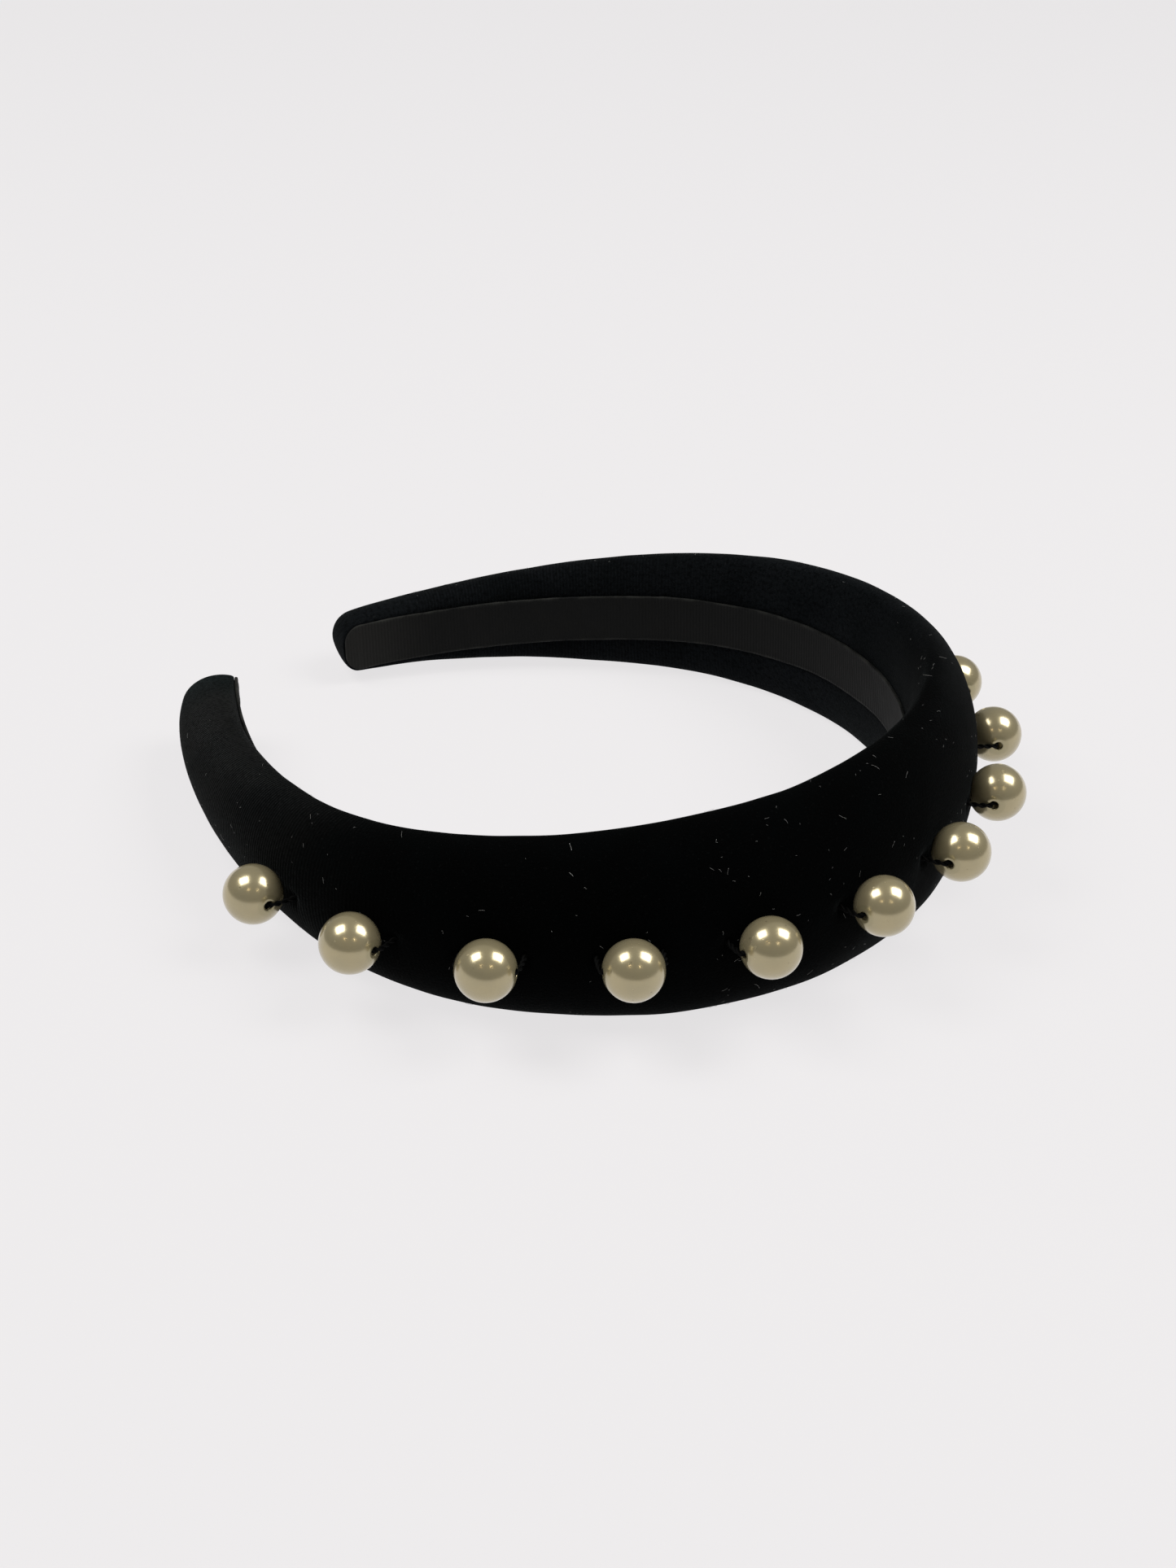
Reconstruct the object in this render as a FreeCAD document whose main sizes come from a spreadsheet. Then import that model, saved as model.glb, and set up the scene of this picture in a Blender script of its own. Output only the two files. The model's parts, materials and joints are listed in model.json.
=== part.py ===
import FreeCAD, Part
import Sketcher
import math
import os

# A padded headband in its own frame: it lies on its side, its crown towards -Y
# and its two tips towards +Y. Its bend is the same on both sides of X = 0, and
# the band's own middle lies a little to the left of that. It is first built with
# the band's plane level, and every piece is then tipped to its resting attitude.
# A place on the band is a distance along its inner face from the crown (left
# side negative), a distance out from that face, and a height across the band.

doc = FreeCAD.newDocument("Headband")
sheet = doc.addObject("Spreadsheet::Sheet", "Sheet")

DIMENSIONS = [
    # the inner face: three tangent arcs on each side of the bend's middle, which
    # lies a little to the right of the band's own middle
    ("crown_radius", 59.2), ("crown_turn", 61.9),
    ("shoulder_radius", 48.1), ("shoulder_turn", 50.8),
    ("arm_radius", 110.0), ("arm_turn", 33.1), ("bend_shift", 2.2),
    # the padded section: its width and depth at the crown and at the tips
    ("crown_width", 37.2), ("tip_width", 11.2), ("width_power", 1.19),
    ("crown_depth", 11.85), ("tip_depth", 4.4), ("depth_power", 0.14),
    ("flat_width", 9.8), ("widest_share", 0.28), ("tip_rounding", 3.6),
    # the layers, from the head outwards
    ("ribbon_width", 9.4), ("ribbon_thickness", 0.5), ("ribbon_corner", 3.4),
    ("ribbon_tip_gap", 0.2), ("glue_line", 0.1), ("cover_thickness", 0.8),
    ("core_width", 8.0), ("core_thickness", 1.4), ("core_corner", 3.2),
    ("core_tip_gap", 2.6), ("core_backing", 0.3),
    # the beads and the thread that holds each one
    ("bead_diameter", 10.0), ("bead_hole", 1.6), ("bead_flat", 9.7),
    ("bead_pitch", 17.5), ("bead_clearance", 0.3), ("bead_row_drop", 1.1),
    ("thread_diameter", 0.9), ("thread_reach", 5.6), ("thread_bend", 0.8),
    ("thread_depth", 2.2),
    # where the band flexes, and the room left there for the bend
    ("inner_flex_place", 26.25), ("outer_flex_place", 61.25),
    ("flex_gap", 0.5), ("open_wedge", 14.5), ("close_wedge", 4.5),
    # the place along an arm, as a share of its length, where its edge rests
    ("rest_share", 0.5),
]
for row, (alias, value) in enumerate(DIMENSIONS, start=1):
    sheet.set("A%d" % row, alias)
    sheet.set("B%d" % row, str(value))
    sheet.setAlias("B%d" % row, alias)
doc.recompute()

BEADS_EACH_SIDE = 6
STATIONS_EACH_SIDE = 13
# sections within the rounding of a tip, as shares of its length
TIP_STATIONS = (0.45, 0.8, 1.0)
# how much of a quarter ellipse the width falls round at a tip
TIP_FALL = 0.82
# the most of its half width that a section is flat for, and how fast that
# flat narrows for each millimetre further inside the velvet
FLAT_LIMIT = 0.9
FLAT_NARROWING = 0.6
# how far a gap's walls reach outwards and towards the head
WALL_OUT = 28.0
WALL_IN = 9.0
# further from the crown than any part of the band
FAR = 180.0
UP = FreeCAD.Vector(0, 0, 1)


def dim(alias):
    """A driving dimension, read from the sheet."""
    return float(sheet.get(alias))


def bind(thing, prop, alias):
    """Ties a property of a feature to a cell of the sheet."""
    thing.setExpression(prop, "Sheet." + alias)


def turns():
    """The three arcs of one side: radius and turn in radians."""
    return [
        (dim("crown_radius"), math.radians(dim("crown_turn"))),
        (dim("shoulder_radius"), math.radians(dim("shoulder_turn"))),
        (dim("arm_radius"), math.radians(dim("arm_turn"))),
    ]


HALF_LENGTH = sum(radius * turn for radius, turn in turns())


def along(place):
    """The point of the inner face at a place along the band, and its heading."""
    x = y = heading = 0.0
    bent = place - dim("bend_shift")
    left = abs(bent)
    arcs = turns()
    for radius, turn in arcs:
        # the arm's arc runs on to the tip
        step = left / radius if radius == arcs[-1][0] else min(turn, left / radius)
        x += radius * (math.sin(heading + step) - math.sin(heading))
        y += radius * (math.cos(heading) - math.cos(heading + step))
        heading += step
        left -= radius * step
    side = -1.0 if bent < 0 else 1.0
    return FreeCAD.Vector(side * x, y, 0), side * heading


def at(place, out=0.0, height=0.0):
    """A point of the level band."""
    point, heading = along(place)
    outward = FreeCAD.Vector(math.sin(heading), -math.cos(heading), 0)
    return point + outward * out + UP * height


def taper(place, crown, tip, power):
    """Falls from the crown's value to the tip's along each arm."""
    share = min(abs(place) / HALF_LENGTH, 1.0)
    fall = max(math.cos(share * math.pi / 2), 0.0) ** dim(power)
    return dim(tip) + (dim(crown) - dim(tip)) * fall


def tip_share(place):
    """1 along the band, falling round a quarter ellipse at each tip."""
    start = HALF_LENGTH - dim("tip_rounding")
    into = max(abs(place) - start, 0.0) / dim("tip_rounding")
    return math.sqrt(1.0 - TIP_FALL * min(into, 1.0) ** 2)


def width(place):
    return taper(place, "crown_width", "tip_width", "width_power") * tip_share(place)


def depth(place):
    return taper(place, "crown_depth", "tip_depth", "depth_power")


def resting_tilt():
    """The turn about X that rests the band's lower edge on the ground at the
    crown and part-way down each arm."""
    rest = dim("rest_share") * HALF_LENGTH
    run = (at(rest).y + at(-rest).y) / 2 - at(0, dim("widest_share") * depth(0)).y
    tip_down = math.atan2((width(0) - width(rest)) / 2, run)
    return FreeCAD.Rotation(FreeCAD.Vector(1, 0, 0), -math.degrees(tip_down))


# ---------------------------------------------------------------- flat strips

def strip_outline(sketch, inside, outside, end):
    """A closed outline of tangent arcs: a strip that follows the inner face
    between two distances out from it, and ends short of both tips."""
    crown, shoulder, _ = [radius * turn for radius, turn in turns()]
    joins = [-crown - shoulder, -crown, 0.0, crown, crown + shoulder]
    bounds = [-end] + [join + dim("bend_shift") for join in joins] + [end]
    spans = list(zip(bounds, bounds[1:]))
    faces = []
    for out in (inside, outside):
        face = []
        for low, high in spans:
            arc = Part.Arc(at(low, out), at((low + high) / 2, out), at(high, out))
            face.append(sketch.addGeometry(arc, False))
        for one, following in zip(face, face[1:]):
            sketch.addConstraint(Sketcher.Constraint("Tangent", one, 2, following, 1))
        faces.append(face)
    for place, arc, point in ((-end, 0, 1), (end, -1, 2)):
        line = sketch.addGeometry(Part.LineSegment(at(place, inside), at(place, outside)), False)
        for vertex, face in ((1, faces[0]), (2, faces[1])):
            join = Sketcher.Constraint("Coincident", line, vertex, face[arc], point)
            sketch.addConstraint(join)
    return faces


def bind_radii(sketch, faces, offsets):
    """Ties every arc's radius to the sheet, plus its face's distance out."""
    one_side = ["arm_radius", "shoulder_radius", "crown_radius"]
    for face, offset in zip(faces, offsets):
        for arc, alias in zip(face, one_side + one_side[::-1]):
            radius = sketch.Geometry[arc].Radius
            index = sketch.addConstraint(Sketcher.Constraint("Radius", arc, radius))
            sketch.setExpression("Constraints[%d]" % index, "Sheet.%s + %s" % (alias, offset))


def strip(name, inside, outside, end, width_alias, corner_alias, offsets):
    """A strip of constant width bent along the inner face, with rounded ends."""
    body = doc.addObject("PartDesign::Body", name + "_blank")
    sketch = body.newObject("Sketcher::SketchObject", name + "_profile")
    plane = [f for f in body.Origin.OriginFeatures if f.Role == "XY_Plane"][0]
    sketch.AttachmentSupport = [(plane, "")]
    sketch.MapMode = "FlatFace"
    faces = strip_outline(sketch, inside, outside, end)
    bind_radii(sketch, faces, offsets)
    pad = body.newObject("PartDesign::Pad", name + "_width")
    pad.Profile = sketch
    pad.Midplane = True
    bind(pad, "Length", width_alias)
    doc.recompute()
    tips = [at(side * end, (inside + outside) / 2) for side in (-1, 1)]
    corners = []
    for number, edge in enumerate(pad.Shape.Edges, start=1):
        level = abs(abs(edge.CenterOfMass.z) - dim(width_alias) / 2) < 1e-6
        near = min((edge.CenterOfMass - tip).cross(UP).Length for tip in tips) < 1e-3
        if level and near:
            corners.append("Edge%d" % number)
    rounding = body.newObject("PartDesign::Fillet", name + "_corners")
    rounding.Base = (pad, corners)
    bind(rounding, "Radius", corner_alias)
    body.Tip = rounding
    return body


def lining_ribbon():
    """The grosgrain ribbon glued to the head side, tip to tip."""
    offsets = ("0", "Sheet.ribbon_thickness")
    end = HALF_LENGTH - dim("ribbon_tip_gap")
    return strip("ribbon", 0.0, dim("ribbon_thickness"), end,
                 "ribbon_width", "ribbon_corner", offsets)


def cover_inside():
    """The cover's head side lies on the ribbon's glue."""
    return dim("ribbon_thickness") + dim("glue_line")


def core_inside():
    """The core lies on a thin backing of foam inside the cover."""
    return cover_inside() + dim("cover_thickness") + dim("core_backing")


def springy_core():
    """The springy moulded band that gives the headband its grip."""
    near = "Sheet.ribbon_thickness + Sheet.glue_line + Sheet.cover_thickness"
    near += " + Sheet.core_backing"
    offsets = (near, near + " + Sheet.core_thickness")
    end = HALF_LENGTH - dim("core_tip_gap")
    return strip("core", core_inside(), core_inside() + dim("core_thickness"), end,
                 "core_width", "core_corner", offsets)


# ------------------------------------------------------------- padded section

def section(place, shrink):
    """The closed section at one place: flat towards the head, flared to its
    widest line, then domed. Shrink is how far inside the velvet it lies."""
    half = width(place) / 2 - shrink
    flat = min(dim("flat_width"), FLAT_LIMIT * width(place)) / 2 - FLAT_NARROWING * shrink
    low = cover_inside() + shrink
    top = depth(place) - shrink
    belt = low + dim("widest_share") * (top - low)

    def quarter(start, corner, end):
        """An exact quarter ellipse, from its two ends and the corner of its box."""
        poles = [at(place, out, across) for across, out in (start, corner, end)]
        curve = Part.BSplineCurve()
        weight = math.cos(math.radians(45.0))
        curve.buildFromPolesMultsKnots(poles, [3, 3], [0.0, 1.0], False, 2, [1.0, weight, 1.0])
        return curve.toShape()

    base = Part.LineSegment(at(place, low, -flat), at(place, low, flat)).toShape()
    edges = [base]
    edges.append(quarter((flat, low), (half, low), (half, belt)))
    edges.append(quarter((half, belt), (half, top), (0.0, top)))
    edges.append(quarter((0.0, top), (-half, top), (-half, belt)))
    edges.append(quarter((-half, belt), (-half, low), (-flat, low)))
    return Part.Wire(edges)


def padded_loft(name, shrink):
    """A loft through sections from tip to tip."""
    end = HALF_LENGTH - shrink
    straight = HALF_LENGTH - dim("tip_rounding")
    places = [straight * i / STATIONS_EACH_SIDE for i in range(STATIONS_EACH_SIDE)]
    places += [straight] + [straight + share * (end - straight) for share in TIP_STATIONS]
    places = [-p for p in reversed(places[1:])] + places
    loft = doc.addObject("Part::Feature", name)
    loft.Shape = Part.makeLoft([section(p, shrink) for p in places], True, False)
    return loft


# ------------------------------------------------------- segments of the band

SEGMENTS = ["left_arm", "left_shoulder", "crown", "right_shoulder", "right_arm"]


def flex_places():
    outer = dim("outer_flex_place")
    inner = dim("inner_flex_place")
    return [-outer, -inner, inner, outer]


def flex_out():
    """The bending axis lies in the middle of the core's thickness."""
    return core_inside() + dim("core_thickness") / 2


def gap_side(place, side):
    """Three points of one wall of the gap at a flex: towards the head, on the
    bending axis and outwards. The walls lean apart to leave room for the bend."""
    hinge, heading = along(place)
    forward = FreeCAD.Vector(math.cos(heading), math.sin(heading), 0)
    outward = FreeCAD.Vector(math.sin(heading), -math.cos(heading), 0)
    pivot = hinge + outward * flex_out() + forward * (side * dim("flex_gap") / 2)
    outer = pivot + outward * WALL_OUT
    outer += forward * (side * WALL_OUT * math.tan(math.radians(dim("open_wedge") / 2)))
    inner = pivot - outward * WALL_IN
    inner += forward * (side * WALL_IN * math.tan(math.radians(dim("close_wedge") / 2)))
    return [inner, pivot, outer]


def segment_outline(name):
    """The outline in the band's plane of the room that one segment takes."""
    places = flex_places()
    index = SEGMENTS.index(name)
    if name.endswith("arm"):
        side = -1 if name.startswith("left") else 1
        wall = gap_side(places[0] if side < 0 else places[-1], side)
        far = FreeCAD.Vector(side * FAR, wall[2].y, 0)
        top = FreeCAD.Vector(side * FAR, FAR, 0)
        middle = FreeCAD.Vector(side, FAR, 0)
        low = FreeCAD.Vector(side, wall[0].y, 0)
        return wall + [far, top, middle, low]
    return gap_side(places[index - 1], 1) + gap_side(places[index], -1)[::-1]


def segment_room(name):
    """A prism over the segment's outline, as tall as the band is wide."""
    outline = doc.addObject("Sketcher::SketchObject", name + "_outline")
    points = segment_outline(name)
    count = len(points)
    for i, point in enumerate(points):
        outline.addGeometry(Part.LineSegment(point, points[(i + 1) % count]), False)
    for i in range(count):
        outline.addConstraint(Sketcher.Constraint("Coincident", i, 2, (i + 1) % count, 1))
    room = doc.addObject("Part::Extrusion", name + "_room")
    room.Base = outline
    room.DirMode = "Normal"
    room.Solid = True
    room.Symmetric = True
    room.setExpression("LengthFwd", "Sheet.crown_width + 20")
    return room


def segments(layer, source, rooms):
    """One layer of the band, cut to each segment's room."""
    pieces = []
    for name, room in rooms.items():
        piece = doc.addObject("Part::Common", layer + "_" + name)
        piece.Base = source
        piece.Tool = room
        piece.Label = layer + "_" + name
        pieces.append(piece)
    return pieces


# ----------------------------------------------------------- beads and stitches

def bead_place(number):
    return number * dim("bead_pitch")


def bead_frame(number):
    """The bead's centre, with X along its hole and Y towards the head."""
    place = bead_place(number)
    out = depth(place) + dim("bead_clearance") + dim("bead_diameter") / 2
    heading = math.degrees(along(place)[1])
    return FreeCAD.Placement(at(place, out, -dim("bead_row_drop")),
                             FreeCAD.Rotation(UP, heading))


def bead(name):
    """A round moulded bead, drilled along X, with the small flat that drilling
    leaves at each mouth. One half-section is turned about the hole's axis."""
    body = doc.addObject("PartDesign::Body", name)
    sketch = body.newObject("Sketcher::SketchObject", name + "_profile")
    plane = [f for f in body.Origin.OriginFeatures if f.Role == "XY_Plane"][0]
    sketch.AttachmentSupport = [(plane, "")]
    sketch.MapMode = "FlatFace"
    radius = dim("bead_diameter") / 2
    flat = dim("bead_flat") / 2
    hole = dim("bead_hole") / 2
    rim = math.sqrt(radius ** 2 - flat ** 2)
    corners = [FreeCAD.Vector(-flat, hole, 0), FreeCAD.Vector(-flat, rim, 0),
               FreeCAD.Vector(flat, rim, 0), FreeCAD.Vector(flat, hole, 0)]
    sketch.addGeometry(Part.LineSegment(corners[0], corners[1]), False)
    dome = Part.Arc(corners[1], FreeCAD.Vector(0, radius, 0), corners[2])
    sketch.addGeometry(dome, False)
    sketch.addGeometry(Part.LineSegment(corners[2], corners[3]), False)
    sketch.addGeometry(Part.LineSegment(corners[3], corners[0]), False)
    for joint in ((0, 2, 1, 2), (2, 1, 1, 1), (2, 2, 3, 1), (3, 2, 0, 1), (1, 3, -1, 1)):
        sketch.addConstraint(Sketcher.Constraint("Coincident", *joint))
    sketch.addConstraint(Sketcher.Constraint("Vertical", 0))
    sketch.addConstraint(Sketcher.Constraint("Vertical", 2))
    sketch.addConstraint(Sketcher.Constraint("Horizontal", 3))
    rules = [
        (Sketcher.Constraint("Radius", 1, radius), "Sheet.bead_diameter / 2"),
        (Sketcher.Constraint("DistanceX", 3, 2, 3, 1, 2 * flat), "Sheet.bead_flat"),
        (Sketcher.Constraint("DistanceY", -1, 1, 3, 1, hole), "Sheet.bead_hole / 2"),
    ]
    for rule, formula in rules:
        index = sketch.addConstraint(rule)
        sketch.setExpression("Constraints[%d]" % index, formula)
    turning = body.newObject("PartDesign::Revolution", name + "_turning")
    turning.Profile = sketch
    turning.ReferenceAxis = (sketch, ["H_Axis"])
    turning.Angle = 360.0
    body.Tip = turning
    body.Label = name
    return body


def stitch(name):
    """The thread of one bead: down into the padding on either side of it, round
    two small bends and straight through the hole."""
    reach = dim("thread_reach")
    bend = dim("thread_bend")
    drop = dim("bead_diameter") / 2 + dim("bead_clearance") + dim("thread_depth")
    turn = bend * math.sin(math.radians(45.0))
    route = doc.addObject("Sketcher::SketchObject", name + "_route")
    edges = []
    for side in (-1, 1):
        foot = FreeCAD.Vector(side * reach, drop, 0)
        shoulder = FreeCAD.Vector(side * reach, bend, 0)
        hip = FreeCAD.Vector(side * (reach - bend), 0, 0)
        middle = FreeCAD.Vector(side * (reach - bend + turn), bend - turn, 0)
        edges.append([Part.LineSegment(foot, shoulder), Part.Arc(shoulder, middle, hip)])
    start = FreeCAD.Vector(-(reach - bend), 0, 0)
    across = Part.LineSegment(start, FreeCAD.Vector(reach - bend, 0, 0))
    for edge in edges[0] + [across] + edges[1][::-1]:
        route.addGeometry(edge, False)
    ring = doc.addObject("Part::Circle", name + "_section")
    bind(ring, "Radius", "thread_diameter / 2")
    ring.Placement = FreeCAD.Placement(FreeCAD.Vector(-reach, drop, 0),
                                       FreeCAD.Rotation(FreeCAD.Vector(1, 0, 0), 90))
    doc.recompute()
    thread = doc.addObject("Part::Sweep", name)
    thread.Sections = [ring]
    thread.Spine = (route, ["Edge%d" % (i + 1) for i in range(len(route.Shape.Edges))])
    thread.Solid = True
    thread.Frenet = False
    thread.Label = name
    return thread


# ------------------------------------------------------------------- assembly

def build():
    """Makes every sub-part and returns (sub-part, its own placement) pairs."""
    level = FreeCAD.Placement()
    ribbon = lining_ribbon()
    core = springy_core()
    velvet = padded_loft("velvet_outside", 0.0)
    padding = padded_loft("padding_outside", dim("cover_thickness"))
    cover = doc.addObject("Part::Cut", "cover_whole")
    cover.Base = velvet
    cover.Tool = padding
    foam = doc.addObject("Part::Cut", "foam_whole")
    foam.Base = padding
    foam.Tool = core
    rooms = {name: segment_room(name) for name in SEGMENTS}
    doc.recompute()
    pieces = []
    for layer, source in (("cover", cover), ("foam", foam), ("core", core), ("ribbon", ribbon)):
        pieces += [(piece, level) for piece in segments(layer, source, rooms)]
    for count in range(2 * BEADS_EACH_SIDE + 1):
        frame = bead_frame(count - BEADS_EACH_SIDE)
        pieces.append((bead("bead_%d" % (count + 1)), frame))
        pieces.append((stitch("thread_%d" % (count + 1)), frame))
    return pieces


def set_down(pieces, origin):
    """Tips every sub-part with the band and moves the given point to the origin."""
    tipped = FreeCAD.Placement(FreeCAD.Vector(), resting_tilt())
    moved = FreeCAD.Placement(FreeCAD.Vector() - origin, FreeCAD.Rotation())
    for piece, frame in pieces:
        piece.Placement = moved.multiply(tipped).multiply(frame)
    doc.recompute()


def bottom_centre(pieces):
    """The bottom centre of the box round every sub-part."""
    box = FreeCAD.BoundBox()
    for piece, frame in pieces:
        box.add(piece.Shape.optimalBoundingBox(False, False))
    return FreeCAD.Vector(box.Center.x, box.Center.y, box.ZMin)


def check(pieces):
    """Stops if any object failed or any sub-part isn't a sound solid."""
    for thing in doc.Objects:
        if "Invalid" in thing.State or "Error" in thing.State:
            raise RuntimeError("%s failed: %s" % (thing.Label, thing.State))
    for piece, frame in pieces:
        shape = piece.Shape
        if shape.isNull() or not shape.isValid() or not shape.Solids:
            raise RuntimeError("%s is not a valid solid" % piece.Label)


pieces = build()
doc.recompute()
set_down(pieces, FreeCAD.Vector())
origin = bottom_centre(pieces)
set_down(pieces, origin)
check(pieces)
os.makedirs("parts", exist_ok=True)
for piece, frame in pieces:
    piece.Shape.exportStep("parts/%s.step" % piece.Label)
    box = piece.Shape.BoundBox
    print("%-22s %9.1f mm3  z %.2f to %.2f" % (piece.Label, piece.Shape.Volume, box.ZMin, box.ZMax))
print("half length %.2f mm, tilt %.4f deg" % (HALF_LENGTH, math.degrees(resting_tilt().Angle)))
print("origin %.5f %.5f %.5f of the tipped band" % (origin.x, origin.y, origin.z))
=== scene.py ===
import json
import math
import random

import bpy
import numpy as np
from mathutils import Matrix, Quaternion, Vector, noise


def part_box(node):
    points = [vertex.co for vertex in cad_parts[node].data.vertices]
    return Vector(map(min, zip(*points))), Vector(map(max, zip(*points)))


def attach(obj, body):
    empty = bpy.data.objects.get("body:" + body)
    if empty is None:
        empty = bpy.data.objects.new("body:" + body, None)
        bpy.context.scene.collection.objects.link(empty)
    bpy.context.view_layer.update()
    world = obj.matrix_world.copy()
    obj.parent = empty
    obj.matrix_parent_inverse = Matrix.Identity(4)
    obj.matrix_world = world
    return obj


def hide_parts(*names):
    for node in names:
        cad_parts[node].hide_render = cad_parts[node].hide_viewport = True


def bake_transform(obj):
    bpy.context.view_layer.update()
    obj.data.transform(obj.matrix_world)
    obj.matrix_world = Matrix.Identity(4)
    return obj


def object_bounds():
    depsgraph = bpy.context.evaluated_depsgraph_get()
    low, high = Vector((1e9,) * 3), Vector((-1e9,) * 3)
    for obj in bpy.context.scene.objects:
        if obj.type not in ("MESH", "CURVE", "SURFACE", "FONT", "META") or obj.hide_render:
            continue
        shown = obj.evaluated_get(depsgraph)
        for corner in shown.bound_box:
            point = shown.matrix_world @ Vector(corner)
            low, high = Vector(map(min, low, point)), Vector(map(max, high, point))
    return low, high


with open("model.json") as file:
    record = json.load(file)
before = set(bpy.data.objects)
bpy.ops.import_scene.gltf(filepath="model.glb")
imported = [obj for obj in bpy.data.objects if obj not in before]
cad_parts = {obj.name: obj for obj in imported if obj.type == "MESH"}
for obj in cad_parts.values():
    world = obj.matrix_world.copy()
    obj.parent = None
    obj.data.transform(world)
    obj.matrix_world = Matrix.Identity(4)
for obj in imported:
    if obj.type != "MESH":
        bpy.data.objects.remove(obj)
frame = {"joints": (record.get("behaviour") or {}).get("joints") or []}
cad_low, cad_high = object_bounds()

# ------------------------------------------------------------------- camera
# A long-lens camera stands at the front left and looks down at the band,
# tipped a few degrees as a hand-held camera is.

CAMERA_PLACE = (-0.36005, -0.1887, 0.24324)
CAMERA_LOOK = (0.76393, 0.40508, -0.50232)
CAMERA_ROLL = math.radians(3.318)
CAMERA_LENS_MM = 59.84
NEAREST_SEEN = 0.01

camera = bpy.data.objects.new("camera", bpy.data.cameras.new("camera"))
camera.data.lens = CAMERA_LENS_MM
camera.data.clip_start = NEAREST_SEEN
camera.location = CAMERA_PLACE
camera.rotation_mode = "QUATERNION"
camera.rotation_quaternion = (Vector(CAMERA_LOOK).to_track_quat("-Z", "Y")
                              @ Quaternion((0, 0, 1), CAMERA_ROLL))
bpy.context.scene.collection.objects.link(camera)
bpy.context.scene.camera = camera
bpy.context.scene.view_settings.view_transform = "Standard"

# ------------------------------------------------------- lights, world, floor
# Two soft boxes hang left and right of the band, two small warm lamps are
# behind the camera, and the room is dim. The band lies on a lit pale table.


class Wire:
    """The output of a node, with the arithmetic that shader maths needs."""

    def __init__(self, finish, socket):
        self.finish = finish
        self.socket = socket

    def maths(self, operation, *values):
        if self.socket.type == "VALUE":
            return self.finish.node("Math", {"operation": operation}, dict(enumerate(values)))
        return self.finish.node("VectorMath", {"operation": operation}, dict(enumerate(values)))

    def __add__(self, other):
        return self.maths("ADD", self, other)

    def __radd__(self, other):
        return self.maths("ADD", other, self)

    def __sub__(self, other):
        return self.maths("SUBTRACT", self, other)

    def __rsub__(self, other):
        return self.maths("SUBTRACT", other, self)

    def __mul__(self, other):
        return self.maths("MULTIPLY", self, other)

    def __rmul__(self, other):
        return self.maths("MULTIPLY", other, self)

    def __truediv__(self, other):
        return self.maths("DIVIDE", self, other)

    def __pow__(self, other):
        return self.maths("POWER", self, other)

    def over(self, low, high):
        """0 up to low, 1 from high, smooth between them."""
        return self.finish.node("MapRange", {"interpolation_type": "SMOOTHSTEP"},
                                {0: self, 1: low, 2: high, 3: 0.0, 4: 1.0})


class Finish:
    """A node tree: a material's, or the world's."""

    def __init__(self, name, owner=None):
        self.owner = owner or bpy.data.materials.new(name)
        self.owner.use_nodes = True
        self.tree = self.owner.node_tree
        self.tree.nodes.clear()

    def node(self, kind, settings=None, sockets=None, output=0):
        """Adds a node: its settings first, then its sockets' values or links."""
        made = self.tree.nodes.new("ShaderNode" + kind)
        for key, value in (settings or {}).items():
            setattr(made, key, value)
        for key, value in (sockets or {}).items():
            if isinstance(value, Wire):
                self.tree.links.new(value.socket, made.inputs[key])
            else:
                made.inputs[key].default_value = value
        return Wire(self, made.outputs[output]) if made.outputs else made

    def mix(self, share, first, second):
        """A colour between two others."""
        return self.node("Mix", {"data_type": "RGBA"}, {0: share, 6: first, 7: second}, 2)

    def surface(self, shader):
        self.node("OutputMaterial", {}, {"Surface": shader})
        return self.owner


def soft_box(name, direction, away, size, watts, colour):
    """An area light that faces the band from a direction."""
    light = bpy.data.lights.new(name, "AREA")
    light.shape = "RECTANGLE"
    light.size, light.size_y = size
    light.energy = watts
    light.color = colour
    lamp = bpy.data.objects.new(name, light)
    lamp.location = Vector(direction).normalized() * away
    lamp.rotation_mode = "QUATERNION"
    lamp.rotation_quaternion = Vector(direction).to_track_quat("Z", "Y")
    bpy.context.scene.collection.objects.link(lamp)


BOX_WHITE = (1.0, 0.99, 0.97)
BOX_AWAY = 0.9
LAMP_AWAY = 1.2
LAMP_SIZE = (0.05, 0.05)

soft_box("soft_box_left", direction=(-0.311, 0.445, 0.84), away=BOX_AWAY,
         size=(0.42, 0.44), watts=4.9, colour=BOX_WHITE)
soft_box("soft_box_right", direction=(0.317, -0.487, 0.81), away=BOX_AWAY,
         size=(0.46, 0.50), watts=6.1, colour=BOX_WHITE)
soft_box("warm_lamp_left", direction=(-0.693, -0.087, 0.715), away=LAMP_AWAY,
         size=LAMP_SIZE, watts=0.22, colour=(1.0, 0.80, 0.52))
soft_box("warm_lamp_right", direction=(-0.413, -0.602, 0.715), away=LAMP_AWAY,
         size=LAMP_SIZE, watts=0.26, colour=(1.0, 0.84, 0.58))

ROOM_DIM = (0.20, 0.20, 0.195, 1)
ROOM_PALE = (0.84, 0.83, 0.835, 1)

world = bpy.data.worlds.new("room")
bpy.context.scene.world = world
room = Finish("room", world)
seen = room.node("LightPath")
dim = room.node("Background", {}, {"Color": ROOM_DIM, "Strength": 1.0})
pale = room.node("Background", {}, {"Color": ROOM_PALE, "Strength": 1.0})
both = room.node("MixShader", {}, {0: seen, 1: dim, 2: pale})
room.node("OutputWorld", {}, {"Surface": both})

FLOOR_HALF = 1.6
FLOOR_COLOUR = (0.09, 0.088, 0.089, 1)
FLOOR_FLECK = (0.15, 0.15, 0.15, 1)
FLOOR_GLOW_TINT = (1.0, 0.982, 0.992, 1)
FLOOR_GLOW = 0.745

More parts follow.
